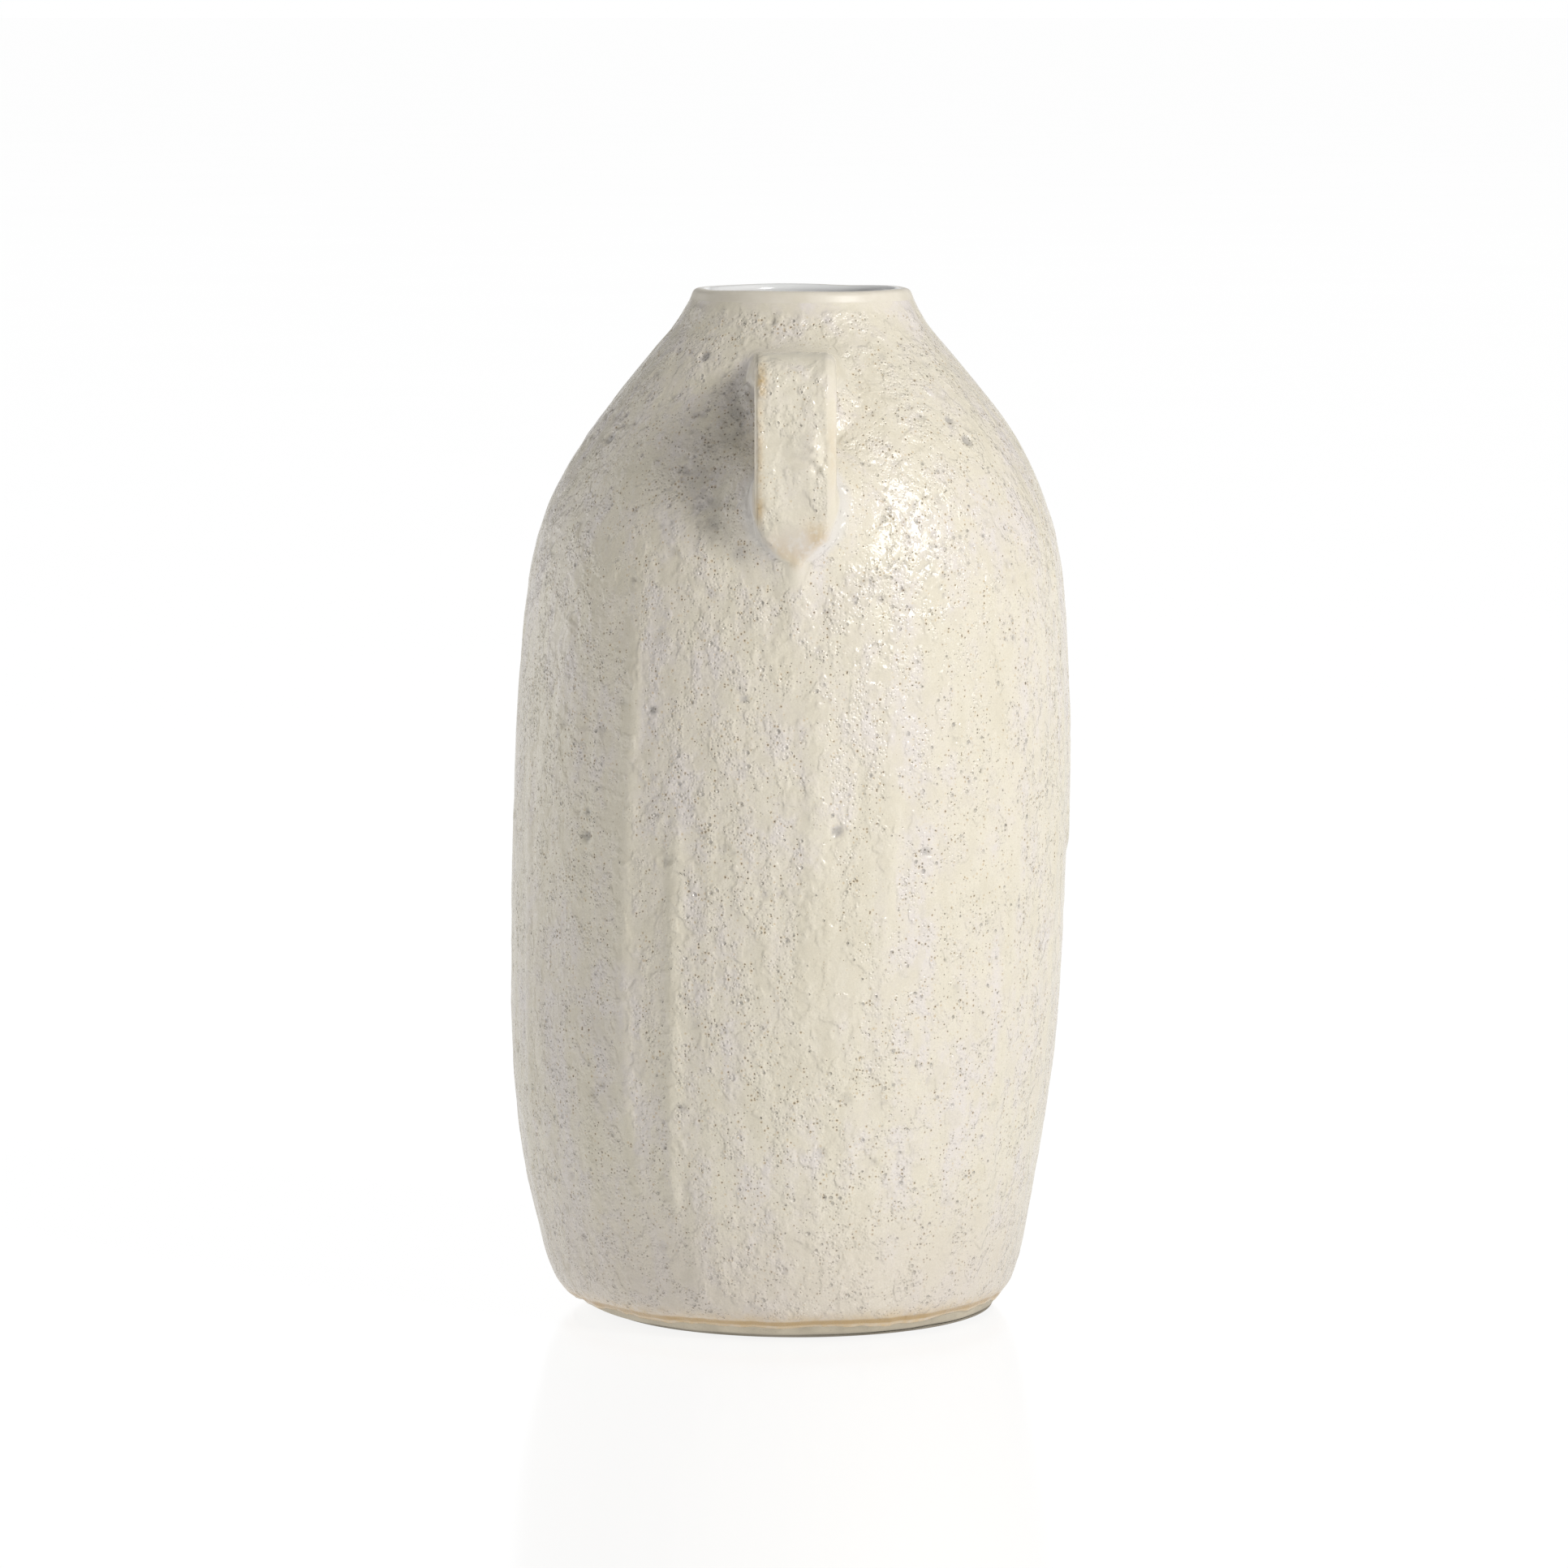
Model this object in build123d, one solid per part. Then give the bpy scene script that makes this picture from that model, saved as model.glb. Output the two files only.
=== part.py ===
from build123d import *

# Stoneware vase with one strap handle: the clay pieces it is built from and the glaze coats on them.
#
# Frame: millimetres, +Z up. The origin is the centre of the flat underside, and the handle faces -Y.
# The clay is a base slab, a wall, a shoulder and a neck collar, luted one on another, with a pulled
# strap handle and a pad of clay pressed round each of its ends. A thick outer glaze covers the wall,
# the shoulder and the handle, and a thin liner glaze covers the inside and rolls over the lip. The
# belly leans a little to -X low down and the neck stands a little to +X, as on a hand-built pot.

import math
import os

# Driving dimensions
CLAY_HEIGHT = 304.2
FLOOR = 8.0
SHOULDER_SEAM = 212.0
NECK_SEAM = 274.0
OUTER_GLAZE = 1.0
LINER_GLAZE = 0.6
BARE_FOOT = 3.2
LINER_OVER_LIP = 2.4
FLOOR_CORNER = 7.0
LIP_OUTER_ROUND = 1.5
LIP_INNER_ROUND = 1.1
SPAN = 400.0
LEVEL_TOLERANCE = 0.05

# How far the loft that hollows the vessel keeps from its floor and mouth, and runs past the mouth
FLOOR_CLEARANCE = 2.0
MOUTH_CLEARANCE = 4.0
MOUTH_RUN = 3.0
# How deep in the clay the surface lies that parts the inside coats from the outside ones
PARTING_DEPTH = 2.0

# The outside of the clay: height, radius, lean of the centre along X, wall thickness
OUTLINE = [
    (0.0, 58.0, 0.0, 7.5),
    (3.0, 62.8, -2.4, 7.5),
    (9.0, 67.5, -3.8, 7.5),
    (20.0, 70.9, -4.4, 7.0),
    (45.0, 76.0, -4.9, 6.5),
    (80.0, 80.3, -3.9, 6.0),
    (120.0, 81.5, -2.6, 5.5),
    (160.0, 81.7, -1.5, 5.5),
    (190.0, 80.8, -1.0, 5.5),
    (210.0, 79.3, -0.6, 5.5),
    (228.0, 76.8, -0.2, 5.5),
    (245.0, 71.2, 0.4, 5.5),
    (262.0, 61.8, 1.2, 5.2),
    (278.0, 49.6, 1.2, 4.8),
    (290.0, 39.6, 1.1, 4.2),
    (298.0, 33.8, 1.3, 3.6),
    (CLAY_HEIGHT, 31.4, 1.5, 3.2),
]

# The strap handle's centreline and section: reach is measured out from the vase's axis, along -Y.
# The strap climbs a little from its root to the bend.
STRAP_X = -0.6
STRAP_WIDTH = 21.4
STRAP_THICKNESS = 6.0
STRAP_CORNER = 2.4
STRAP_ROOT_REACH = 24.0
STRAP_ROOT_DROP = 6.0
STRAP_TOP = 286.2
STRAP_REACH = 80.0
STRAP_BEND = 10.0
STRAP_KNEE = 247.0
KNEE_BEND = 40.0
TAIL_REACH = 74.0
TAIL_DEPTH = 226.0
TONGUE_TIP = 229.0
TONGUE_WIDTH = 13.0
TONGUE_CORNER = 5.0
TONGUE_SHOULDER = 14.0
TONGUE_MARGIN = 1.0

# The pads of clay round the strap's ends: reach, height, radius, bulge and tilt of the pad's axis
TOP_PAD = (51.2, 275.0, 13.0, 4.4, 40.0)
BOTTOM_PAD = (68.6, 245.6, 17.0, 9.2, 25.0)


def loft_circles(stations):
    """A solid through level circles, each given as height, radius and lean."""
    return loft([Plane((lean, 0, z)) * Circle(radius) for z, radius, lean in stations])


def outline_moved(shift):
    """The outline's stations moved along the outline's own normal by shift(wall)."""
    moved = []
    for i, (z, radius, lean, wall) in enumerate(OUTLINE):
        below, above = OUTLINE[max(i - 1, 0)], OUTLINE[min(i + 1, len(OUTLINE) - 1)]
        run, rise = above[1] - below[1], above[0] - below[0]
        length = math.hypot(run, rise)
        step = shift(wall)
        moved.append((z - step * run / length, radius + step * rise / length, lean))
    return moved


def level(station, z):
    """A station set to height z, for the ends of a loft."""
    return (z, station[1], station[2])


def slab_between(low, high):
    """Everything between two heights."""
    return Location((0, 0, (low + high) / 2)) * Box(SPAN, SPAN, high - low)


def rims_at(shape, z):
    """The level edges at height z, the smallest first."""
    rims = []
    for edge in shape.edges():
        height_error = abs(edge.center().Z - z)
        if height_error < LEVEL_TOLERANCE and edge.bounding_box().size.Z < LEVEL_TOLERANCE:
            rims.append(edge)
    return sorted(rims, key=lambda edge: edge.length)


def vessel(stations, z, lip_round):
    """A solid through the stations, with its top edge, at height z, rounded."""
    solid = loft_circles(stations)
    return fillet(rims_at(solid, z)[:1], lip_round)


def hollow(depth, floor, corner):
    """The space inside a surface that lies depth further in than the clay's inner face."""
    stations = outline_moved(lambda wall: -(wall + depth))
    foot = next(s for s in stations if s[0] > floor + FLOOR_CLEARANCE)
    rest = [s for s in stations if floor + corner < s[0] < CLAY_HEIGHT - MOUTH_CLEARANCE]
    mouth = [level(stations[-1], CLAY_HEIGHT + run) for run in (-MOUTH_RUN, MOUTH_RUN)]
    space = loft_circles([level(foot, floor), *rest, *mouth])
    return fillet(rims_at(space, floor)[:1], corner)


def tongue(grow):
    """The strap's front view, tapered to a rounded tongue at its lower end, as a block along Y."""
    half = STRAP_WIDTH / 2 + TONGUE_MARGIN
    tip = TONGUE_WIDTH / 2
    top = STRAP_TOP + 2 * STRAP_THICKNESS
    corners = [TONGUE_MARGIN, TONGUE_SHOULDER, TONGUE_CORNER]
    outline = FilletPolyline(
        (-half, top),
        (-half, STRAP_KNEE),
        (-tip, TONGUE_TIP),
        (tip, TONGUE_TIP),
        (half, STRAP_KNEE),
        (half, top),
        radius=corners + corners[::-1],
        close=True,
    )
    front = offset(make_face(outline), grow) if grow else make_face(outline)
    return extrude(Plane((STRAP_X, 0, 0), x_dir=(1, 0, 0), z_dir=(0, -1, 0)) * front, SPAN / 3)


def strap(grow=0.0):
    """The strap swept along its centreline and cut to its tongue, each face moved out by grow."""
    root = (STRAP_X, -STRAP_ROOT_REACH, STRAP_TOP - STRAP_ROOT_DROP)
    path = FilletPolyline(
        root,
        (STRAP_X, -STRAP_REACH, STRAP_TOP),
        (STRAP_X, -STRAP_REACH, STRAP_KNEE),
        (STRAP_X, -TAIL_REACH, TAIL_DEPTH),
        radius=[STRAP_BEND, KNEE_BEND],
    )
    width, thickness = STRAP_WIDTH + 2 * grow, STRAP_THICKNESS + 2 * grow
    section = RectangleRounded(width, thickness, STRAP_CORNER + grow)
    start = Plane(root, x_dir=(1, 0, 0), z_dir=(0, STRAP_ROOT_REACH - STRAP_REACH, STRAP_ROOT_DROP))
    return sweep(start * section, path=path) & tongue(grow)


def pad(reach, z, radius, bulge, tilt, grow=0.0):
    """A flattened ball of clay, its short axis tilted up from -Y."""
    half = Ellipse(radius + grow, bulge + grow) & Location((radius, 0)) * Rectangle(2 * radius, SPAN)
    ball = revolve(half, Axis.Y)
    return Location((STRAP_X, -reach, z), (-tilt, 0, 0)) * ball


def clay_pieces(shell):
    """The base slab, wall, shoulder and neck collar, cut from the vessel at its luted seams."""
    return {
        "base_slab": shell & slab_between(0, FLOOR),
        "body_wall": shell & slab_between(FLOOR, SHOULDER_SEAM),
        "shoulder_dome": shell & slab_between(SHOULDER_SEAM, NECK_SEAM),
        "neck_collar": shell & slab_between(NECK_SEAM, SPAN),
    }


def handle_forms(grow=0.0):
    """The strap and the pads at its two ends, run on into the vessel, each face moved out by grow."""
    return {
        "handle_strap": strap(grow),
        "handle_top_pad": pad(*TOP_PAD, grow),
        "handle_bottom_pad": pad(*BOTTOM_PAD, grow),
    }


def handle_pieces(outside):
    """The handle's clay, ending on the vessel's clay, with the strap run through both pads."""
    forms = handle_forms()
    pieces = {name: form - outside for name, form in forms.items()}
    for name in ("handle_top_pad", "handle_bottom_pad"):
        pieces[name] = pieces[name] - forms["handle_strap"]
    return pieces


def glaze_pieces(shell):
    """The outer glaze on the wall, shoulder and handle, and the liner glaze inside and over the lip."""
    crest = CLAY_HEIGHT + LINER_GLAZE
    stations = outline_moved(lambda _: OUTER_GLAZE)
    sides = [level(stations[0], 0), *stations[1:-1], level(stations[-1], crest)]
    coated = vessel(sides, crest, LIP_OUTER_ROUND + LINER_GLAZE)
    open_inside = hollow(LINER_GLAZE, FLOOR + LINER_GLAZE, FLOOR_CORNER - LINER_GLAZE)
    coats = coated - open_inside
    coats = fillet(rims_at(coats, crest)[:1], LIP_INNER_ROUND + LINER_GLAZE) - shell
    # Half-way into the clay is a surface that parts the coats inside from those outside
    inner_side = hollow(-PARTING_DEPTH, FLOOR - PARTING_DEPTH, FLOOR_CORNER)
    liner_edge = CLAY_HEIGHT - LINER_OVER_LIP
    liner = coats & (inner_side + slab_between(liner_edge, SPAN))
    outer = coats & slab_between(BARE_FOOT, liner_edge) - inner_side
    handle_clay, handle_coated = (sum(handle_forms(grow).values(), Part()) for grow in (0, OUTER_GLAZE))
    outer = outer - handle_clay
    return {
        "wall_glaze": outer & slab_between(0, SHOULDER_SEAM),
        "shoulder_glaze": outer & slab_between(SHOULDER_SEAM, SPAN),
        "handle_glaze": handle_coated - coated - handle_clay,
        "liner_glaze": liner,
    }


def main():
    """Builds every piece and writes each to its own STEP file."""
    os.makedirs("parts", exist_ok=True)
    outside = vessel([station[:3] for station in OUTLINE], CLAY_HEIGHT, LIP_OUTER_ROUND)
    shell = outside - hollow(0, FLOOR, FLOOR_CORNER)
    shell = fillet(rims_at(shell, CLAY_HEIGHT)[:1], LIP_INNER_ROUND)
    pieces = clay_pieces(shell) | handle_pieces(outside) | glaze_pieces(shell)
    for name, piece in pieces.items():
        piece.label = name
        export_step(piece, f"parts/{name}.step")
        print(f"{name}: {piece.volume / 1000:.1f} cm3 in {len(piece.solids())} solid(s)")


main()
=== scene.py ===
import math

import bpy
import numpy as np
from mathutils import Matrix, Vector
from mathutils.bvhtree import BVHTree
from mathutils.kdtree import KDTree


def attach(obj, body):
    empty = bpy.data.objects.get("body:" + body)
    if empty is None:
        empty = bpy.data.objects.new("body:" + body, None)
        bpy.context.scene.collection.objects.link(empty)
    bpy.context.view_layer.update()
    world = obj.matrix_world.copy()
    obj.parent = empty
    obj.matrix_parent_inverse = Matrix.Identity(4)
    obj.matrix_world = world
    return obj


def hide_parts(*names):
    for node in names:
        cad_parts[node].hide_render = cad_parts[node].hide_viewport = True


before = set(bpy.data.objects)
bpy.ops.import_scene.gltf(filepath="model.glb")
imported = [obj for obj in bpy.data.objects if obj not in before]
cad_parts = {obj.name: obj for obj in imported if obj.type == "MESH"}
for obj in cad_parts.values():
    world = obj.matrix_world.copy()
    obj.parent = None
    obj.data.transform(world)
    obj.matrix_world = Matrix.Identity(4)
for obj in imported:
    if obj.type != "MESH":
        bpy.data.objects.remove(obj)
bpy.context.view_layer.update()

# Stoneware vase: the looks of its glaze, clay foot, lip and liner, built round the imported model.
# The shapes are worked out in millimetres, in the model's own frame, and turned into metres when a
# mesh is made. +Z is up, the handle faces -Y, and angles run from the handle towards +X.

MM = 0.001
METRE = 1000.0

# Where the pieces of glaze end, in millimetres
SEAM_Z = 212.0
LIP_EDGE_Z = 301.6
FOOT_EDGE_Z = 3.9
FOOT_HEIGHT = 8.0

# How finely the skins are divided: columns round the vase and the strap, and steps along them
COLUMNS = 476
FOOT_COLUMNS = 320
STRAP_COLUMNS = 112
WALL_STEP = 1.02
SHOULDER_STEP = 0.72
STRAP_STEP = 0.5

# The strap handle's centreline and section
STRAP_X = -0.6
STRAP_HALF_WIDTH = 11.7
STRAP_HALF_THICKNESS = 4.0
# The rounding of the strap's corners on its -X side and on its +X side
STRAP_CORNERS = (1.9, 3.2)
STRAP_TOP = 286.2
STRAP_REACH = 80.0
TONGUE_START_Z = 247.0
STRAP_PATH = [
    (24.0, STRAP_TOP - 6.0),
    (STRAP_REACH, STRAP_TOP),
    (STRAP_REACH, TONGUE_START_Z),
    (74.0, 224.0),
]
STRAP_BENDS = [10.0, 40.0]
# How far along the strap its skin starts, inside the vase, and how far in it is kept
STRAP_SKIN_START = 10.0
STRAP_SKIN_DEPTH = 6.0
TONGUE_TIP_Z = 230.5
TONGUE_HALF_WIDTH = 7.6
# The pads round the strap's ends: reach, height, radius, bulge, tilt
TOP_PAD = (51.2, 275.0, 14.0, 5.4, 40.0)
BOTTOM_PAD = (68.6, 245.6, 18.0, 10.2, 25.0)

# The handle's skin stands this far proud of the body's where they meet, and each sinks at this slope
# as it passes under the other. The body's starts close to the seam and the handle's further past it.
PROUD = 0.06
SINK_SLOPE = 0.4
BODY_SINK_START = 0.2
BODY_SINK_MOST = 1.2
HANDLE_SINK_START = 0.7
HANDLE_SINK_MOST = 1.4


# ---- Numbers and noise ----


def smoothstep(low, high, value):
    """0 below low, 1 above high, and a smooth rise between them."""
    t = np.clip((value - low) / (high - low), 0.0, 1.0)
    return t * t * (3.0 - 2.0 * t)


def mix(a, b, share):
    """a where share is 0 and b where it is 1."""
    return a + (b - a) * share


def blob(across, along, wide, high):
    """A soft oval spot: 1 in its middle, where both distances from it are 0, fading to 0."""
    return np.exp(-((across / wide) ** 2 + (along / high) ** 2))


def scramble(h):
    """A well mixed 32-bit number for each 32-bit number."""
    h = (h ^ (h >> 16)) * np.uint32(0x7FEB352D)
    h = (h ^ (h >> 15)) * np.uint32(0x846CA68B)
    return h ^ (h >> 16)


def noise(points, size, seed):
    """Smooth repeatable noise, about -1 to 1, with lumps of that size. size may differ along X, Y, Z."""
    p = np.asarray(points, float) / np.asarray(size, float)
    cell = np.floor(p)
    offset = p - cell
    fade = offset**3 * (offset * (offset * 6.0 - 15.0) + 10.0)
    cell = cell.astype(np.int64)
    total = np.zeros(p.shape[:-1])
    for corner in np.ndindex(2, 2, 2):
        at = (cell + corner).astype(np.uint32)
        h = at[..., 0] * np.uint32(0x9E3779B1) ^ at[..., 1] * np.uint32(0x85EBCA77)
        h = scramble(h ^ at[..., 2] * np.uint32(0xC2B2AE3D) ^ np.uint32(seed * 7919 + 17))
        weight = np.ones(p.shape[:-1])
        slope = np.zeros(p.shape[:-1])
        for axis in range(3):
            direction = ((h >> np.uint32(10 * axis)) & np.uint32(1023)) / 511.5 - 1.0
            slope += direction * (offset[..., axis] - corner[axis])
            weight *= fade[..., axis] if corner[axis] else 1.0 - fade[..., axis]
        total += weight * slope
    return total * 1.7


def rough_noise(points, size, seed, octaves=3):
    """Noise with finer noise on it, each octave half the size and half the height."""
    total, height = 0.0, 1.0
    for octave in range(octaves):
        total = total + height * noise(points, np.asarray(size, float) / 2**octave, seed + octave)
        height *= 0.5
    return total


class Spline:
    """A natural cubic spline through (x, y) points."""

    def __init__(self, x, y):
        self.x, self.y = np.asarray(x, float), np.asarray(y, float)
        n, step = len(self.x), np.diff(self.x)
        matrix, right = np.eye(n), np.zeros(n)
        for i in range(1, n - 1):
            matrix[i, i - 1 : i + 2] = step[i - 1], 2 * (step[i - 1] + step[i]), step[i]
            rise = (self.y[i + 1] - self.y[i]) / step[i] - (self.y[i] - self.y[i - 1]) / step[i - 1]
            right[i] = 6 * rise
        self.bend, self.step = np.linalg.solve(matrix, right), step

    def __call__(self, x):
        x = np.clip(x, self.x[0], self.x[-1])
        i = np.clip(np.searchsorted(self.x, x) - 1, 0, len(self.step) - 1)
        h, a, b = self.step[i], self.x[i + 1] - x, x - self.x[i]
        low, high = self.bend[i], self.bend[i + 1]
        curve = (low * a**3 + high * b**3) / (6 * h)
        return curve + (self.y[i] / h - low * h / 6) * a + (self.y[i + 1] / h - high * h / 6) * b


# ---- The vase's smooth form, measured from the CAD ----


def cad_tree(*nodes):
    """A tree to cast rays at CAD nodes, in millimetres."""
    verts, faces = [], []
    for node in nodes:
        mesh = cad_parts[node].data
        start = len(verts)
        verts += [v.co * METRE for v in mesh.vertices]
        faces += [[start + i for i in polygon.vertices] for polygon in mesh.polygons]
    return BVHTree.FromPolygons(verts, faces)


def measure(tree, heights, from_inside):
    """Splines of radius and of the centre's X against height, from rays cast level along X."""
    far = 0.0 if from_inside else 200.0
    kept, radii, centres = [], [], []
    for z in heights:
        ends = []
        for side in (-1.0, 1.0):
            inward = side if from_inside else -side
            hit = tree.ray_cast(Vector((side * far, 0, z)), Vector((inward, 0, 0)))[0]
            if hit is not None:
                ends.append(hit.x)
        if len(ends) == 2:
            kept.append(z)
            radii.append((ends[1] - ends[0]) / 2)
            centres.append((ends[1] + ends[0]) / 2)
    return Spline(kept, radii), Spline(kept, centres)


OUTER_HEIGHTS = [3.4, 5, 7, 9.5, 13, 17, 22, 28, 36, 46, *range(60, 230, 15), *range(230, 300, 8), 301.7]
INNER_HEIGHTS = [17, 21, 26, 33, 45, *range(60, 230, 15), *range(230, 300, 8), 302.0]
CLAY_HEIGHTS = [0.15, 1.0, 2.0, 3.2, 4.5, 6.0, 7.8]
outer_radius, outer_centre = measure(cad_tree("wall_glaze", "shoulder_glaze"), OUTER_HEIGHTS, False)
inner_radius, inner_centre = measure(cad_tree("liner_glaze"), INNER_HEIGHTS, True)
clay_radius, clay_centre = measure(cad_tree("base_slab"), CLAY_HEIGHTS, False)


def polar(points, centre):
    """Angle from the handle's side, and distance from the leaning axis."""
    x = points[..., 0] - centre(points[..., 2])
    return np.arctan2(x, -points[..., 1]), np.hypot(x, points[..., 1])


def body_distance(points):
    """How far points are outside the smooth vessel."""
    z = points[..., 2]
    slope = (outer_radius(z + 0.5) - outer_radius(z - 0.5)) / np.where(z > LIP_EDGE_Z, 2.0, 1.0)
    return (polar(points, outer_centre)[1] - outer_radius(z)) / np.sqrt(1.0 + slope**2)


def straight(start, end, step):
    """Points about a step apart on a straight run, both ends among them."""
    return np.linspace(start, end, max(2, int(np.linalg.norm(end - start) / step)))


def rounded_path(corners, bends, step):
    """Points and headings along straight runs joined by arcs, in a plane."""
    corners = [np.array(c, float) for c in corners]
    points, start = [], corners[0]
    for i, radius in enumerate(bends, 1):
        before = corners[i] - corners[i - 1]
        after = corners[i + 1] - corners[i]
        before, after = before / np.linalg.norm(before), after / np.linalg.norm(after)
        turn = math.acos(float(np.clip(before @ after, -1, 1)))
        tangent = radius * math.tan(turn / 2)
        arc_start = corners[i] - before * tangent
        side = after - before * (before @ after)
        side /= np.linalg.norm(side)
        points += list(straight(start, arc_start, step))
        for a in np.linspace(0, turn, max(3, int(radius * turn / step)))[1:]:
            points.append(arc_start + before * radius * math.sin(a) + side * radius * (1 - math.cos(a)))
        start = corners[i] + after * tangent
    points += list(straight(start, corners[-1], step))[1:]
    points = np.array(points)
    headings = np.gradient(points, axis=0)
    return points, headings / np.linalg.norm(headings, axis=1)[:, None]


strap_line, strap_heading = rounded_path(STRAP_PATH, STRAP_BENDS, STRAP_STEP)
# Square to the strap's run, pointing out of the loop
strap_outward = np.stack([-strap_heading[:, 1], strap_heading[:, 0]], 1)


def strap_half_width(z, on_tail):
    """Half the strap's width: full down to the tongue, which narrows to a rounded tip."""
    taper = np.clip((TONGUE_START_Z - z) / (TONGUE_START_Z - TONGUE_TIP_Z), 0, 1)
    narrowed = mix(STRAP_HALF_WIDTH, TONGUE_HALF_WIDTH, smoothstep(0, 1, taper))
    tip = np.sqrt(np.clip((z - TONGUE_TIP_Z) / 6.0, 0, 1))
    return np.where(on_tail, narrowed * tip, STRAP_HALF_WIDTH)


def strap_coordinates(points):
    """Nearest place on the strap's line, how far outward of it, and how far to the side."""
    flat = points.reshape(-1, 3)
    across = np.stack([-flat[:, 1], flat[:, 2]], 1)
    nearest = np.empty(len(flat), int)
    for start in range(0, len(flat), 4000):
        block = across[start : start + 4000]
        apart = ((block[:, None, :] - strap_line[None]) ** 2).sum(2)
        nearest[start : start + 4000] = apart.argmin(1)
    outward = ((across - strap_line[nearest]) * strap_outward[nearest]).sum(1)
    shape = points.shape[:-1]
    return nearest.reshape(shape), outward.reshape(shape), (flat[:, 0] - STRAP_X).reshape(shape)


def strap_distance(points):
    """How far points are outside the glazed strap."""
    nearest, outward, side = strap_coordinates(points)
    z = strap_line[nearest, 1]
    half = strap_half_width(z, nearest > len(strap_line) // 2)
    corner = np.minimum(mix(*STRAP_CORNERS, smoothstep(-4, 4, side)), half)
    a = np.abs(side) - (half - corner)
    b = np.abs(outward) - (STRAP_HALF_THICKNESS - corner)
    outside = np.hypot(np.maximum(a, 0), np.maximum(b, 0))
    return outside + np.minimum(np.maximum(a, b), 0) - corner


def pad_distance(points, pad):
    """How far points are outside a flattened ball, its short axis tilted up from -Y."""
    reach, height, radius, bulge, tilt = pad
    a = math.radians(tilt)
    out = -points[..., 1] - reach
    up = points[..., 2] - height
    along = out * math.cos(a) + up * math.sin(a)
    over = -out * math.sin(a) + up * math.cos(a)
    scaled = np.stack([(points[..., 0] - STRAP_X) / radius, along / bulge, over / radius], -1)
    steeper = scaled / np.array([radius, bulge, radius])
    k = np.linalg.norm(scaled, axis=-1)
    return k * (k - 1.0) / np.maximum(np.linalg.norm(steeper, axis=-1), 1e-9)


def soft_union(a, b, reach):
    """The smaller of two distances, blended where they are within reach of each other."""
    share = np.clip(0.5 + 0.5 * (b - a) / reach, 0, 1)
    return mix(b, a, share) - reach * share * (1 - share)


def pads_distance(points):
    """How far points are outside the nearer pad."""
    return np.minimum(pad_distance(points, TOP_PAD), pad_distance(points, BOTTOM_PAD))


def handle_distance(points):
    """How far points are outside the strap and its pads."""
    return soft_union(strap_distance(points), pads_distance(points), 5.0)


def strap_lead(points):
    """How much nearer points are to the strap than to the vessel or the pads."""
    return np.minimum(body_distance(points), pads_distance(points)) - strap_distance(points)


def blend_reach(z):
    """How widely the glaze pools where handle meets body: more at the bottom root than at the top."""
    return mix(9.5, 5.0, smoothstep(250, 275, z))


def root_distance(points):
    """How far points are outside the smooth vessel and the pads of clay on it."""
    return soft_union(body_distance(points), pads_distance(points), blend_reach(points[..., 2]))


def form_distance(points):
    """How far points are outside the whole smooth vase, handle included."""
    return soft_union(body_distance(points), handle_distance(points), blend_reach(points[..., 2]))


def gradient(function, points, step=0.05):
    """The direction in which a distance grows fastest."""
    parts = []
    for axis in range(3):
        shift = np.zeros(3)
        shift[axis] = step
        parts.append(function(points + shift) - function(points - shift))
    direction = np.stack(parts, -1)
    return direction / np.maximum(np.linalg.norm(direction, axis=-1), 1e-9)[..., None]


# ---- Relief of the glaze ----

# Long drips of glaze: angle in degrees, top, bottom, half width, height
LONG_RUNS = [
    (-24, 150, 38, 3.0, 0.50),
    (-35, 205, 60, 4.5, 0.45),
    (3, 190, 95, 4.0, 0.28),
    (21, 208, 70, 4.2, 0.32),
    (52, 150, 20, 5.0, 0.40),
]
# Large craters: angle in degrees, height, radius, depth
LARGE_CRATERS = [
    (-40, 286, 2.3, 0.7),
    (-46, 148, 2.1, 0.7),
    (-46, 155, 1.5, 0.6),
    (9, 152, 2.2, 0.7),
    (28, 145, 1.7, 0.7),
    (-63, 262, 2.6, 0.7),
    (-12, 278, 2.0, 0.6),
    (47, 268, 2.0, 0.6),
    (50, 262, 2.6, 0.7),
    (-10, 190, 1.6, 0.5),
    (-30, 186, 1.5, 0.5),
]
# Places crowded with small craters: angle from, angle to, height from, height to, how many
CROWDED = [
    (-34, -9, 236, 284, 90),
    (-80, -60, 255, 270, 30),
    (10, 34, 218, 250, 45),
]
# Grey patches beside the handle, painted shade where its shadow falls, deepening that shadow: angle in
# degrees, height, half width, half height, strength
PAINTED_SHADE_BESIDE_HANDLE = [
    (-19, 270, 6.0, 10.0, 0.95),
    (-24, 256, 6.0, 13.0, 0.60),
    (-19, 243, 5.0, 9.0, 0.70),
    (-12, 232, 3.0, 3.0, 0.70),
]
CRATER_COUNT = 900
RANDOM_LONG_RUNS = 22
DEEPEST = -0.80
random = np.random.default_rng(740)


def surface_point(angle, z):
    """The point of the smooth vessel at an angle from the handle and a height."""
    r = outer_radius(z)
    return np.stack([outer_centre(z) + r * np.sin(angle), -r * np.cos(angle), z + 0 * angle], -1)


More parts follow.
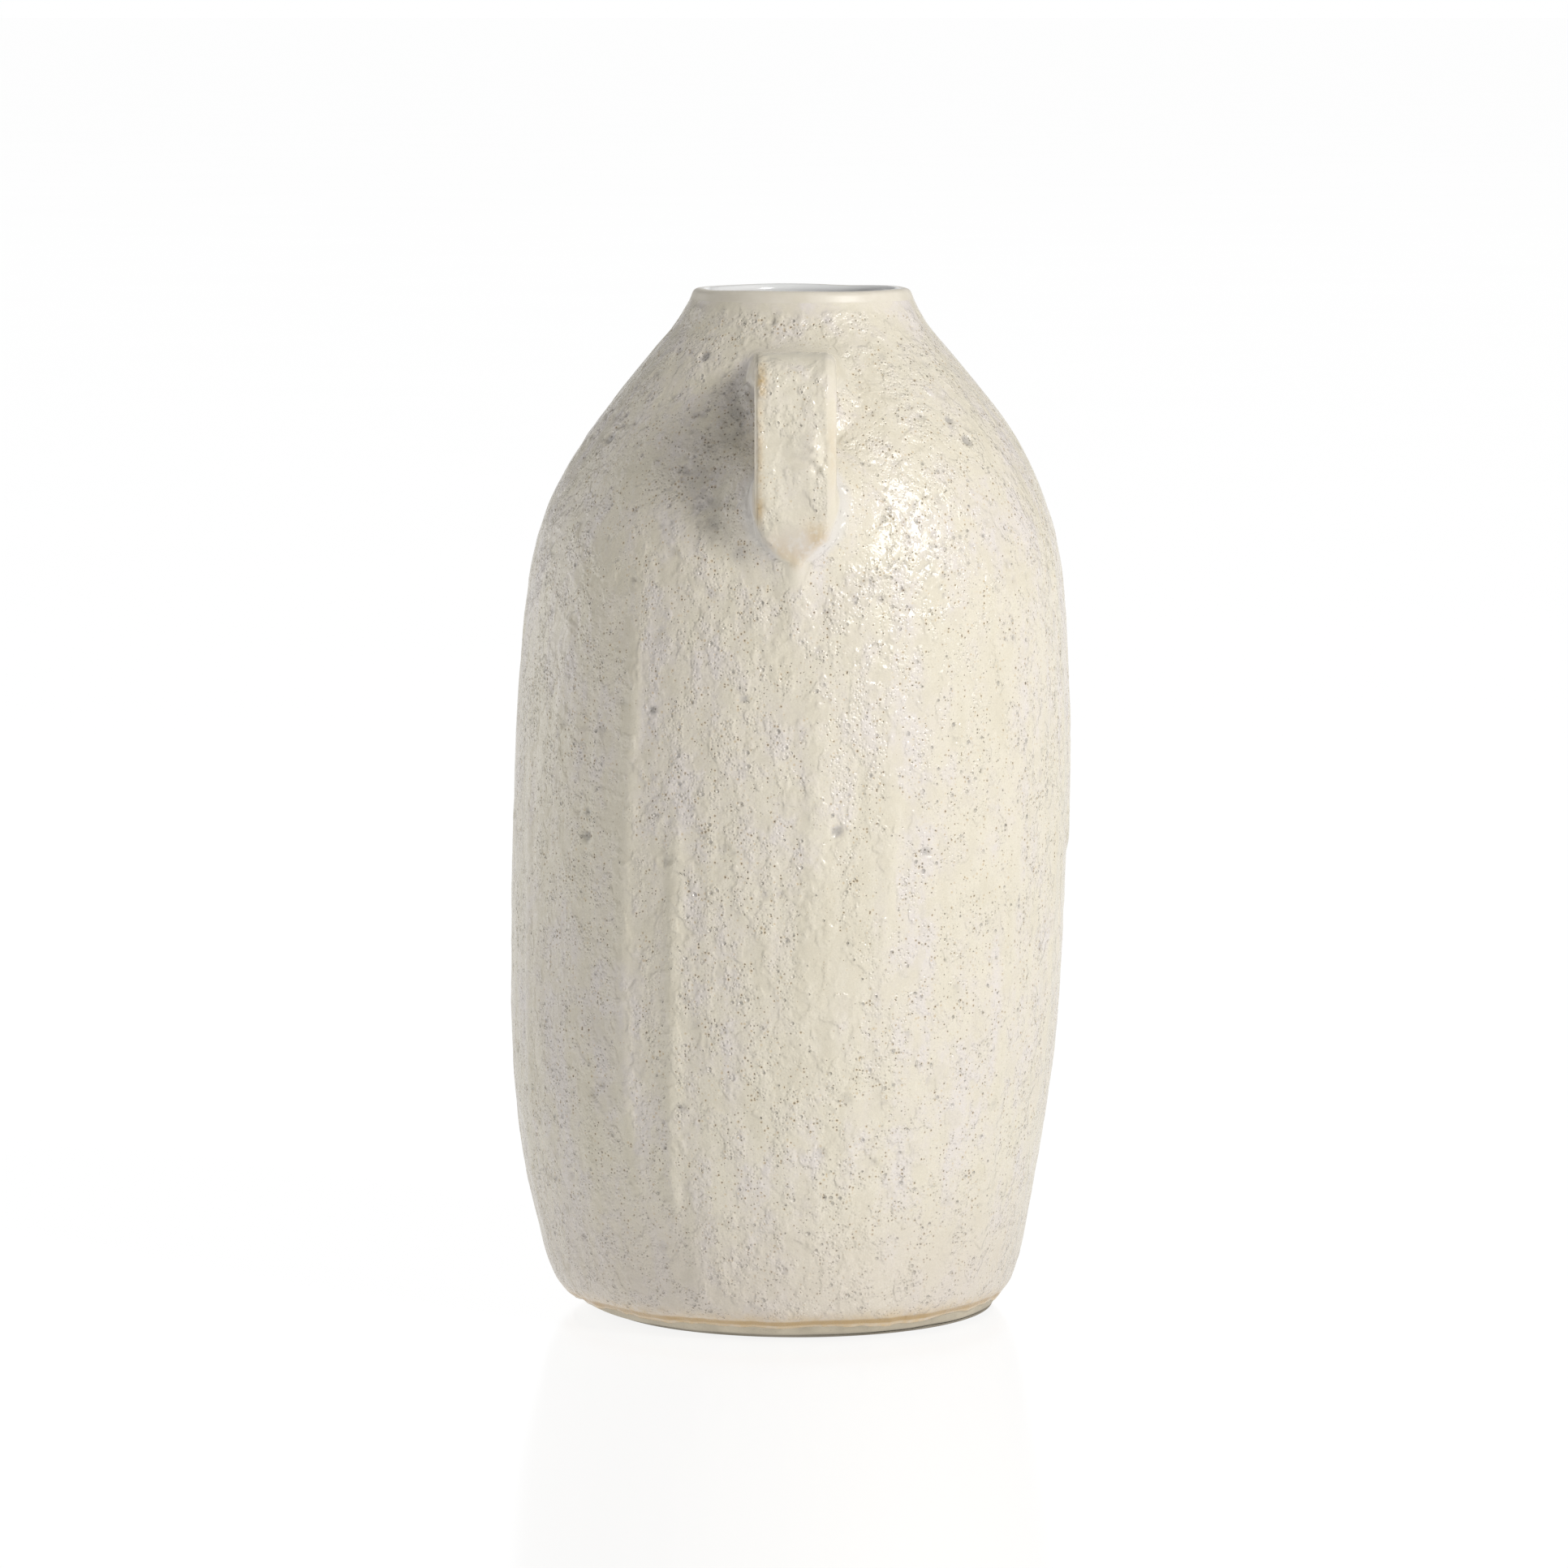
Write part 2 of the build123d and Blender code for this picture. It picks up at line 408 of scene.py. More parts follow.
def scatter_craters():
    """Craters all over the glaze, thickest on the shoulder: place, radius, depth and greyness of each."""
    angle = random.uniform(-math.pi, math.pi, CRATER_COUNT)
    z = random.uniform(10, 298, CRATER_COUNT)
    radius = 1.2 + 1.2 * random.uniform(0, 1, CRATER_COUNT) ** 3
    depth = random.uniform(0.2, 0.5, CRATER_COUNT)
    place = surface_point(angle, z)
    crowd = noise(place, (30, 30, 38), 61) + 0.5 * smoothstep(190, 240, z)
    kept = random.uniform(0, 1, CRATER_COUNT) < smoothstep(-0.3, 0.6, crowd)
    angle_r, z_r, radius_r, depth_r = np.array(LARGE_CRATERS).T
    found = [
        (surface_point(np.radians(angle_r), z_r), radius_r, depth_r, 0.8 + 0 * depth_r),
        (place[kept], radius[kept], depth[kept], 0.25 + 0 * depth[kept]),
    ]
    for first, last, low, high, count in CROWDED:
        angle = np.radians(random.uniform(first, last, count))
        place = surface_point(angle, random.uniform(low, high, count))
        depth = random.uniform(0.25, 0.5, count)
        found.append((place, random.uniform(0.7, 1.3, count), depth, 0.4 + 0 * depth))
    return tuple(np.concatenate(parts) for parts in zip(*found))


def scatter_runs():
    """The long drips named above and more of them round the back."""
    runs = [tuple(run) for run in LONG_RUNS]
    for _ in range(RANDOM_LONG_RUNS):
        angle = random.uniform(62, 298)
        top = random.uniform(120, 215)
        bottom = top - random.uniform(50, 150)
        runs.append((angle, top, max(bottom, 15), random.uniform(2.6, 5), random.uniform(0.25, 0.6)))
    return runs


craters = scatter_craters()
long_runs = scatter_runs()


def drip_field(points):
    """Vertical drips below the shoulder: height of the ridges, in millimetres, before fading."""
    angle, _ = polar(points, outer_centre)
    z = points[..., 2]
    sway = 2.2 * noise(points, (30, 30, 55), 5)
    # Wrapped round a circle, so that the pattern has no join at the back
    ring = (82.0 + sway * 0.2)[..., None] * np.stack([np.sin(angle), np.cos(angle)], -1)
    stretched = np.concatenate([ring + sway[..., None] * 0.5, (z / 9.0)[..., None]], -1)
    fine = noise(stretched, (8.5, 8.5, 9.0), 11)
    broad = noise(stretched, (19, 19, 14), 12)
    ridges = 0.34 * smoothstep(-0.15, 0.75, fine) + 0.30 * broad
    for middle, top, bottom, half, height in long_runs:
        apart = np.angle(np.exp(1j * (angle - math.radians(middle)))) * 82.0 + 0.9 * sway
        length = smoothstep(top + 18, top - 18, z) * smoothstep(bottom - 2, bottom + 5, z)
        bead = 1.0 + 0.35 * np.exp(-(((z - bottom - 7) / 8.0) ** 2))
        ridges = ridges + height * bead * length * np.exp(-((apart / half) ** 2) * 1.6)
    return ridges


def crater_field(points, reach=1.9):
    """Depth of the craters at points, and how grey their floors are."""
    flat = points.reshape(-1, 3)
    tree = KDTree(len(flat))
    for i, point in enumerate(flat):
        tree.insert(point, i)
    tree.balance()
    depth, floor = np.zeros(len(flat)), np.zeros(len(flat))
    for place, radius, deep, grey in zip(*craters):
        for _, i, apart in tree.find_range(Vector(place), radius * reach):
            t = apart / radius
            bowl = -deep * (1 - smoothstep(0.35, 1.1, t))
            rim = 0.12 * deep * math.exp(-(((t - 1.25) / 0.35) ** 2))
            depth[i] += bowl + rim
            floor[i] = max(floor[i], grey * (1 - smoothstep(0.45, 0.95, t)))
    return depth.reshape(points.shape[:-1]), floor.reshape(points.shape[:-1])


def glaze_relief(points, handle_share, seam):
    """Height of the glaze over the smooth form, and the masks that its material reads."""
    z = points[..., 2]
    below_shoulder = smoothstep(243, 205, z) * (1 - handle_share)
    drips = drip_field(points) * below_shoulder * smoothstep(6, 22, z)
    patch = smoothstep(-0.5, 0.6, noise(points, (26, 26, 34), 21))
    lumps = rough_noise(points, (6.5, 6.5, 7.5), 31, 2)
    coarse = rough_noise(points, (13, 13, 16), 35, 2)
    on_ridge = smoothstep(0.10, 0.60, drips)
    smooth = np.maximum(smoothstep(297.5, 301.2, z + 0.9 * noise(points, 9, 71)), smoothstep(9, 4, z))
    calm = (1 - smooth) * (1 - 0.6 * on_ridge) * (1 - 0.35 * handle_share)
    height = drips + calm * (0.15 * lumps * mix(0.5, 1.4, patch) + 0.18 * coarse)
    pits, floor = crater_field(points)
    angle, away = polar(points, outer_centre)
    cloudy = smoothstep(-0.5, 0.4, noise(points, 4.0, 83))
    # Painted shade: grey patches where the handle's shadow falls, joined to the crater floors' grey
    for middle, level, wide, high, strength in PAINTED_SHADE_BESIDE_HANDLE:
        pool = strength * blob((angle - math.radians(middle)) * away, z - level, wide, high)
        floor = np.maximum(floor, pool * mix(0.5, 1.0, cloudy) * (1 - handle_share))
    height = height + pits * (1 - smooth) * (1 - 0.5 * handle_share)
    return np.clip(height, DEEPEST, None) * (1 - 0.9 * seam), {
        "ridge": on_ridge,
        "hollow": smoothstep(-0.05, -0.45, height - drips * 0.4),
        # This mask holds the crater floors' grey and the painted shade beside the handle
        "crater": floor * (1 - smooth) * (1 - seam),
        "smooth": np.maximum(smooth, seam),
    }


# ---- Meshes ----


def grid_normals(grid):
    """A normal at each point of a grid whose columns join up."""
    down = np.gradient(grid, axis=0)
    across = np.roll(grid, -1, axis=1) - np.roll(grid, 1, axis=1)
    normals = np.cross(across, down)
    return normals / np.maximum(np.linalg.norm(normals, axis=-1), 1e-12)[..., None]


def grid_faces(rows, columns):
    """Quads of a grid whose columns join up. They face out if rows run up and columns anticlockwise."""
    low = np.arange(rows - 1)[:, None] * columns
    here = np.arange(columns)[None]
    ahead = (here + 1) % columns
    quads = np.stack([low + here, low + ahead, low + columns + ahead, low + columns + here], -1)
    return quads.reshape(-1, 4)


def make_piece(name, points, faces, normals, masks, replaces):
    """A smooth mesh piece from points in millimetres, riding on the vase."""
    mesh = bpy.data.meshes.new(name)
    mesh.from_pydata((points.reshape(-1, 3) * MM).tolist(), [], [list(face) for face in faces])
    for mask, values in masks.items():
        attribute = mesh.attributes.new(mask, "FLOAT", "POINT")
        attribute.data.foreach_set("value", np.ascontiguousarray(values, np.float32).ravel())
    mesh.polygons.foreach_set("use_smooth", np.ones(len(mesh.polygons), bool))
    mesh.update()
    mesh.normals_split_custom_set_from_vertices(normals.reshape(-1, 3).tolist())
    piece = bpy.data.objects.new(name, mesh)
    bpy.context.scene.collection.objects.link(piece)
    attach(piece, "root")
    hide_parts(*replaces)
    return piece


def rows_by_length(low, high, step):
    """Heights between low and high, evenly spaced along the vessel's outline."""
    z = np.linspace(low, high, 2000)
    along = np.concatenate([[0], np.cumsum(np.hypot(np.diff(z), np.diff(outer_radius(z))))])
    return np.interp(np.linspace(0, along[-1], round(along[-1] / step) + 1), along, z)


def near_handle(points):
    """Whether points are in the space round the handle."""
    return (points[..., 1] < -20) & (np.abs(points[..., 0]) < 45) & (points[..., 2] > 205)


def height_to(distance, start, out, most=12.0):
    """How far along a direction points must move to reach the surface that a distance describes."""
    height = np.zeros(len(start))
    for _ in range(6):
        height = np.clip(height - distance(start + out * height[:, None]), 0, most)
    return height


def lift_to_form(points, normals, fillet_rise=4.2):
    """Points of the bare vessel moved out along their normals to where the handle's root swells. They
    climb the fillet beside the strap but not the strap itself."""
    lifted = points.copy()
    near = near_handle(points)
    start, out = points[near], normals[near]
    most = height_to(root_distance, start, out) + fillet_rise
    height = np.minimum(height_to(form_distance, start, out), most)
    lifted[near] = start + out * height[:, None]
    return lifted


def handle_fields(points):
    """How much points belong to the handle, to the seam where it meets the body, and to the band of glaze
    pooled along the strap."""
    share, seam, band = (np.zeros(points.shape[:-1]) for _ in range(3))
    near = near_handle(points)
    p = points[near]
    lead = strap_lead(p)
    share[near] = smoothstep(-2.5, 2.5, lead)
    seam[near] = smoothstep(2.4, 0.9, np.abs(lead))
    beside, z = strap_distance(p), p[..., 2]
    pooled = smoothstep(6.5, 3.0, beside) * smoothstep(0.3, 1.2, beside)
    band[near] = pooled * smoothstep(284, 270, z) * smoothstep(228, 235, z)
    return share, seam, band


def ease_into_seam(normals, points, seam):
    """Normals that turn into the smooth form's own at the seam, so that both skins shade alike there."""
    eased = normals.copy()
    inside = seam > 0
    smooth_normals = gradient(form_distance, points[inside])
    mixed = mix(normals[inside], smooth_normals, seam[inside][:, None])
    eased[inside] = mixed / np.linalg.norm(mixed, axis=-1)[:, None]
    return eased


def build_outer_skins():
    """The glaze on the wall and on the shoulder: one relief, cut at the shoulder's seam."""
    wall_rows = rows_by_length(FOOT_EDGE_Z, SEAM_Z, WALL_STEP)
    shoulder_rows = rows_by_length(SEAM_Z, LIP_EDGE_Z, SHOULDER_STEP)
    rows = np.concatenate([wall_rows, shoulder_rows[1:]])
    angle = np.linspace(0, 2 * math.pi, COLUMNS, endpoint=False) + math.pi
    angle_grid, z_grid = np.meshgrid(angle, rows)
    base = surface_point(angle_grid, z_grid)
    out = grid_normals(base)
    form = lift_to_form(base, out)
    share, seam, band = handle_fields(form)
    height, masks = glaze_relief(form, share, seam)
    form_normals = grid_normals(form)
    form += form_normals * height[..., None]
    # The wavy lower edge, where the glaze thins out over the clay
    wave = 0.9 * noise(form, (16, 16, 400), 81) + 0.45 * noise(form, (5, 5, 400), 82)
    near_foot = smoothstep(13, FOOT_EDGE_Z, z_grid)
    form[..., 2] += near_foot * wave
    form -= form_normals * (0.62 * smoothstep(9, FOOT_EDGE_Z, z_grid))[..., None]
    normals = ease_into_seam(grid_normals(form), form, seam)
    masks["handle"], masks["band"] = share, band
    masks["foot"] = smoothstep(10.5, 4.0, z_grid + 0.6 * wave)
    masks["amber"] = np.zeros_like(share)
    # Under the handle the vessel's skin dips inside it, so that only one of the two skins shows
    inside = share > 0
    p = form[inside]
    buried = np.clip(SINK_SLOPE * (strap_lead(p) - BODY_SINK_START), 0, BODY_SINK_MOST)
    form[inside] = p - gradient(form_distance, p) * buried[:, None]
    cut = len(wall_rows)
    pieces = []
    for node, span in (("wall_glaze", slice(0, cut)), ("shoulder_glaze", slice(cut - 1, None))):
        grid, grid_normal = form[span], normals[span]
        part_masks = {mask: values[span] for mask, values in masks.items()}
        if node == "wall_glaze":
            grid, grid_normal, part_masks = tuck_under(grid, grid_normal, part_masks)
        faces = grid_faces(*grid.shape[:2])
        name = node + "_coat"
        pieces.append(make_piece(name, grid, faces, grid_normal, part_masks, [node]))
    return pieces, form[-1], normals[-1]


def tuck_under(grid, normals, masks):
    """The grid with two rows added below it, which roll the glaze's lower edge in onto the clay."""
    out = normals[0] * [1, 1, 0]
    first = grid[0] - out * 0.16 - np.array([0, 0, 0.22])
    second = grid[0] - out * 0.9 - np.array([0, 0, 0.05])
    rolled = np.concatenate([second[None], first[None], grid])
    edge_normals = grid_normals(rolled[:3])[:2]
    wider = {mask: np.concatenate([values[:1], values[:1], values]) for mask, values in masks.items()}
    return rolled, np.concatenate([edge_normals, normals]), wider


# Stains of amber on the strap: X, height, half width, half height, strength
AMBER_STAINS = [
    (-10.4, 281, 1.5, 5.0, 1.0),
    (-11.0, 262, 1.2, 18.0, 0.55),
    (-11.0, 245, 1.4, 4.5, 0.9),
    (-1.0, 233, 7.5, 4.5, 0.90),
    (5.0, 236, 4.0, 5.0, 0.80),
    (10.0, 262, 1.6, 12.0, 0.30),
]
# A groove and a swelling that fingers left on the strap: X, height, half width, half height, rise
FINGER_MARKS = [
    (-2.6, 266, 2.2, 9.0, -0.5),
    (1.6, 260, 5.0, 9.0, 1.2),
]


def strap_grid():
    """Rings of points round the strap, from inside the vase to its tongue."""
    stations = np.arange(int(STRAP_SKIN_START / STRAP_STEP), len(strap_line) - 2)
    turn = np.linspace(0, 2 * math.pi, STRAP_COLUMNS, endpoint=False)
    on_tail = stations > len(strap_line) // 2
    half = np.maximum(strap_half_width(strap_line[stations, 1], on_tail), 1.5)[:, None]
    # A superellipse stands for the rounded section until the points are drawn to the exact form
    power = 0.42
    side = half * np.sign(np.cos(turn)) * np.abs(np.cos(turn)) ** power
    outward = STRAP_HALF_THICKNESS * np.sign(np.sin(turn)) * np.abs(np.sin(turn)) ** power
    outward = np.broadcast_to(outward, side.shape)
    line, direction = strap_line[stations][:, None], strap_outward[stations][:, None]
    across = line + direction * outward[..., None]
    grid = np.stack([STRAP_X + side, -across[..., 0], across[..., 1]], -1)
    return grid[body_distance(grid).max(1) > -STRAP_SKIN_DEPTH]


def strap_unevenness(grid, outward, calm, on_strap):
    """The strap's own swellings and hollows: the marks of fingers, and lumps low on its +X half."""
    x, z = grid[..., 0], grid[..., 2]
    rough_part = smoothstep(-4, 1, x) * smoothstep(250, 256, z)
    rise = 0.45 * noise(grid, (7, 30, 17), 91)
    rise += noise(grid, (3.0, 30, 3.6), 92) * mix(0.15, 0.62, rough_part)
    rise += 1.2 * noise(grid, (2.6, 30, 3.0), 93) * blob(x - 3.5, z - 259.0, 5.0, 8.0)
    rise *= on_strap * (1 - calm)
    for middle_x, middle_z, wide, high, most in FINGER_MARKS:
        rise += most * blob(x - middle_x, z - middle_z, wide, high) * smoothstep(0, 2, outward)
    return rise


def amber_stains(grid, outward):
    """How strongly amber the glaze is where it runs thin over the strap's edges and tongue."""
    amber = np.zeros(grid.shape[:-1])
    for x, z, wide, high, strength in AMBER_STAINS:
        stain = strength * blob(grid[..., 0] - x, grid[..., 2] - z, wide, high)
        amber = np.maximum(amber, stain * smoothstep(-2, 1, outward))
    return amber


def folded_over(points, faces, out):
    """Which faces have turned over, where the skin's two sides close on each other inside the root."""
    corners = points.reshape(-1, 3)[faces]
    facing = np.cross(corners[:, 2] - corners[:, 0], corners[:, 3] - corners[:, 1])
    away = out.reshape(-1, 3)[faces].mean(1)
    return (facing * away).sum(-1) < 0.3 * np.linalg.norm(facing, axis=-1)


def build_handle():
    """The glaze on the strap and its pads, drawn onto the same blended form as the body's."""
    grid = strap_grid()
    # What lies deep inside the body's root stays there, hidden
    depth = -form_distance(grid)
    drawn = smoothstep(6.5, 4.2, depth)[..., None]
    for _ in range(5):
        pull = gradient(form_distance, grid)
        grid = grid - drawn * pull * np.clip(form_distance(grid), -1.5, 1.5)[..., None]
    share, seam, band = handle_fields(grid)
    height, masks = glaze_relief(grid, share, seam)
    out = gradient(form_distance, grid)
    _, outward, side = strap_coordinates(grid)
    on_strap = smoothstep(0.5, 0.95, share)
    left_edge = smoothstep(STRAP_HALF_WIDTH - 1.4, STRAP_HALF_WIDTH - 0.4, -side)
    right_edge = smoothstep(STRAP_HALF_WIDTH - 3.6, STRAP_HALF_WIDTH - 1.4, side)
    over_top = 0.6 * smoothstep(285.5, 288.0, grid[..., 2])
    inner_face = smoothstep(0.5, -1.0, outward)
    calm = np.maximum.reduce([left_edge, right_edge, over_top, inner_face]) * on_strap
    height = height * (1 - 0.8 * calm) + strap_unevenness(grid, outward, calm, on_strap)
    form = grid + out * height[..., None]
    normals = grid_normals(form)
    flip = np.sign((normals * out).sum(-1).mean())
    normals = ease_into_seam(normals * flip, grid, seam)
    masks["smooth"] = np.maximum(masks["smooth"], calm)
    masks["handle"], masks["band"] = share, band
    masks["foot"] = np.zeros_like(share)
    masks["amber"] = amber_stains(grid, outward) * on_strap
    # Past the seam the skin sinks under the body's, and what is well under it is left out
    buried = np.clip(SINK_SLOPE * (-strap_lead(form) - HANDLE_SINK_START), 0, HANDLE_SINK_MOST)
    form = form + out * (PROUD - buried)[..., None]
    faces = grid_faces(*form.shape[:2])
    if flip < 0:
        faces = faces[:, ::-1]
    hidden = ((buried > HANDLE_SINK_MOST - 0.1) | (depth > 5.6)).ravel()[faces].all(1)
    shown = faces[~(hidden | folded_over(form, faces, out))]
    return make_piece("handle_glaze_coat", form, shown, normals, masks, ["handle_glaze"])


def grid_piece(name, grid, normals, masks, node, close_low=False, close_high=False):
    """A piece from a wrapped grid, with a fan of triangles over either end that is to be closed."""
    rows, columns = grid.shape[:2]
    faces = grid_faces(rows, columns).tolist()
    points, all_normals = grid.reshape(-1, 3), normals.reshape(-1, 3)
    values = {mask: field.ravel() for mask, field in masks.items()}
    ring = np.arange(columns)
    ahead = (ring + 1) % columns
    for wanted, start, up in ((close_low, 0, -1.0), (close_high, (rows - 1) * columns, 1.0)):
        if wanted:
            middle = len(points)
            points = np.concatenate([points, points[start : start + columns].mean(0)[None]])
            all_normals = np.concatenate([all_normals, [[0.0, 0.0, up]]])
            values = {m: np.append(v, v[start : start + columns].mean()) for m, v in values.items()}
            first, second = (ahead, ring) if up < 0 else (ring, ahead)
            faces += [[start + a, start + b, middle] for a, b in zip(first, second)]
    return make_piece(name, points, faces, all_normals, values, [node])


def arc(centre_r, centre_z, radius, start, end, count=9):
    """Points of a profile on a circle, between two angles measured up from the outward direction."""
    angles = np.linspace(start, end, count)
    return [(centre_r + radius * math.cos(a), centre_z + radius * math.sin(a)) for a in angles]


def turned(angle, r, z, lean):
    """A grid whose rows are level circles, each with its own radius, height and centre's X."""
    r, z, lean = r[:, None], z[:, None], lean[:, None]
    return np.stack([lean + r * np.sin(angle), -r * np.cos(angle), z + 0 * angle], -1)


def liner_profile():
    """Radii and heights from the lip's outer side over its crest and down the inside to the floor."""
    quarter = math.pi / 2
    outer_round, inner_round, crest = 2.1, 1.7, 304.8
    floor_z, corner = 8.6, 6.4
    r_out, r_in = outer_radius(LIP_EDGE_Z), inner_radius(302.0)
    # The lip's outer side carries on the neck's slope and runs into its rounding without a bead
    slope = 0.39
    lean_in = math.atan(slope)
    round_z = crest - outer_round * (1 - math.sin(lean_in))
    round_r = r_out - slope * (round_z - LIP_EDGE_Z) - outer_round * math.cos(lean_in)
    profile = [(r_out - slope * (z - LIP_EDGE_Z), z) for z in (302.1, 302.7)]
    profile += arc(round_r, crest - outer_round, outer_round, lean_in, quarter)
    profile += arc(r_in + inner_round, crest - inner_round, inner_round, quarter, math.pi)
    down = [np.arange(302.4, 285, -0.8), np.arange(284, floor_z + corner + 2, -2.6)]
    profile += [(float(inner_radius(z)), z) for z in np.concatenate(down)]
    flat_r = float(inner_radius(floor_z + corner)) - corner
    profile += arc(flat_r, floor_z + corner, corner, 0, -quarter)[1:]
    profile += [(r, floor_z) for r in np.linspace(flat_r - 3, 2.0, 16)]
    return np.array(profile).T


def build_liner(lip_edge, lip_normals):
    """The liner glaze: over the lip from the outer glaze's edge, and down the inside to the floor."""
    r, z = liner_profile()
    angle = np.linspace(0, 2 * math.pi, COLUMNS, endpoint=False) + math.pi
    centre = np.where(z > 300, outer_centre(LIP_EDGE_Z), inner_centre(np.maximum(z, 17)))
    lean = mix(centre, 0, smoothstep(20, z[-1], z))
    grid = np.concatenate([lip_edge[None], turned(angle, r, z, lean)])
    # The lip takes up the outer skin's unevenness at its edge and loses it over the crest
    drift = lip_edge - surface_point(angle, np.full_like(angle, LIP_EDGE_Z))
    fade = np.exp(-np.arange(len(grid) - 1) / 5.0)
    grid[1:] += drift[None] * fade[:, None, None]
    uneven = noise(np.stack([40 * np.sin(angle), 40 * np.cos(angle), 0 * angle], -1), 30, 95)
    grid[1:, :, 2] += 0.35 * uneven * smoothstep(285, 303, grid[1:, :, 2])
    normals = grid_normals(grid)
    # Throwing rings under the liner
    level = grid[..., 2]
    rings = 0.16 * np.sin(level * 0.62 + 1.5 * noise(grid, 60, 96)) * smoothstep(302, 292, level)
    rings[0] = 0
    grid = grid + normals * (rings + 0.12 * noise(grid, 14, 97) * (level < 300))[..., None]
    normals = grid_normals(grid)
    normals[0] = lip_normals
    row = np.arange(len(grid))[:, None] + 1.5 * uneven
    masks = {"over_lip": smoothstep(14.5, 10.0, row)}
    return grid_piece(
        "liner_glaze_coat", grid, normals, masks, "liner_glaze", close_high=True
    )


def build_foot():
    """The base slab: a wiped foot with faint turning rings underneath, its sides under the glaze."""
    angle = np.linspace(0, 2 * math.pi, FOOT_COLUMNS, endpoint=False) + math.pi
    edge_round = 0.9
    r_foot = float(clay_radius(0.5)) - 0.2
    profile = [(r, 0.0) for r in np.linspace(1.5, r_foot - edge_round - 0.6, 40)]
    profile += arc(r_foot - edge_round, edge_round, edge_round, -math.pi / 2, 0, 7)
    profile += [(float(clay_radius(z)), z) for z in np.arange(1.3, FOOT_HEIGHT, 0.5)]
    profile += [(r, FOOT_HEIGHT) for r in (60.0, 40.0, 20.0, 1.5)]
    r, z = np.array(profile).T
    lean = np.where(z < 0.9, 0, clay_centre(z))
    lean = np.minimum(lean, 0) * smoothstep(0.0, 1.3, z)
    grid = turned(angle, r, z, lean)
    side = (grid[..., 2] > 0.5) & (grid[..., 2] < 7.5)
    out = grid_normals(grid)
    grid += out * (0.18 * noise(grid, (14, 14, 6), 101) * side)[..., None]
    flat = (z < 0.01)[:, None] * smoothstep(r_foot - 2, r_foot - 6, r)[:, None]
    grid[..., 2] += flat * (0.25 + 0.12 * np.sin(r * 2.1)[:, None] + 0.05 * noise(grid, 9, 102))
    normals = grid_normals(grid)
    return grid_piece(
        "clay_foot", grid, normals, {}, "base_slab", close_low=True, close_high=True
    )


# ---- Materials ----


class Value:
    """A number or a colour that nodes work out. Ordinary signs add, subtract and multiply numbers."""

    def __init__(self, nodes, socket):
        self.nodes, self.socket = nodes, socket

    def __add__(self, other):
        return self.nodes.math("ADD", self, other)

    def __sub__(self, other):
        return self.nodes.math("SUBTRACT", self, other)

    def __mul__(self, other):
        return self.nodes.math("MULTIPLY", self, other)

    def ease(self, start, end, low=0.0, high=1.0):
        """A smooth change from low, where this value is at start, to high, where it is at end."""
        given = dict(enumerate((self, start, end, low, high)))
        return self.nodes.add("MapRange", given, interpolation_type="SMOOTHSTEP")


class Nodes:
    """A node tree. Each call adds a node and gives the value that comes out of it."""

    def __init__(self, tree):
        self.tree = tree

    def put(self, socket, value):
        """Links a value that comes from a node, or sets one that doesn't."""
        if isinstance(value, Value):
            self.tree.links.new(value.socket, socket)
        elif isinstance(value, tuple) and len(value) == 3 and socket.type == "RGBA":
            socket.default_value = (*value, 1.0)
        else:
            socket.default_value = value

    def add(self, kind, inputs, output=0, **settings):
        """Adds a node of that kind, with its settings, and its inputs given by name or number."""
        node = self.tree.nodes.new("ShaderNode" + kind)
        for setting, value in settings.items():
            setattr(node, setting, value)
        for key, value in inputs.items():
            self.put(node.inputs[key], value)
        return Value(self, node.outputs[output])

    def math(self, operation, a, b):
        return self.add("Math", {0: a, 1: b}, operation=operation)

    def gray(self, value):
        """A value as a colour."""
        return self.add("CombineColor", {0: value, 1: value, 2: value})

    def blend(self, share, a, b, mode="MIX"):
        """Colour a where share is 0 and b, blended in that mode, where it is 1."""
        inputs = {"Factor": share, 6: a, 7: b}
        return self.add("Mix", inputs, 2, data_type="RGBA", blend_type=mode)

    def ramp(self, value, *stops):
        """Colours along a value. Each stop is a place, then a colour or a shade of grey."""
        colours = self.add("ValToRGB", {0: value})
        elements = colours.socket.node.color_ramp.elements
        while len(elements) < len(stops):
            elements.new(0.5)
        for element, (place, colour) in zip(elements, stops):
            element.position = place
            element.color = (*(colour if isinstance(colour, tuple) else (colour,) * 3), 1.0)
        return colours


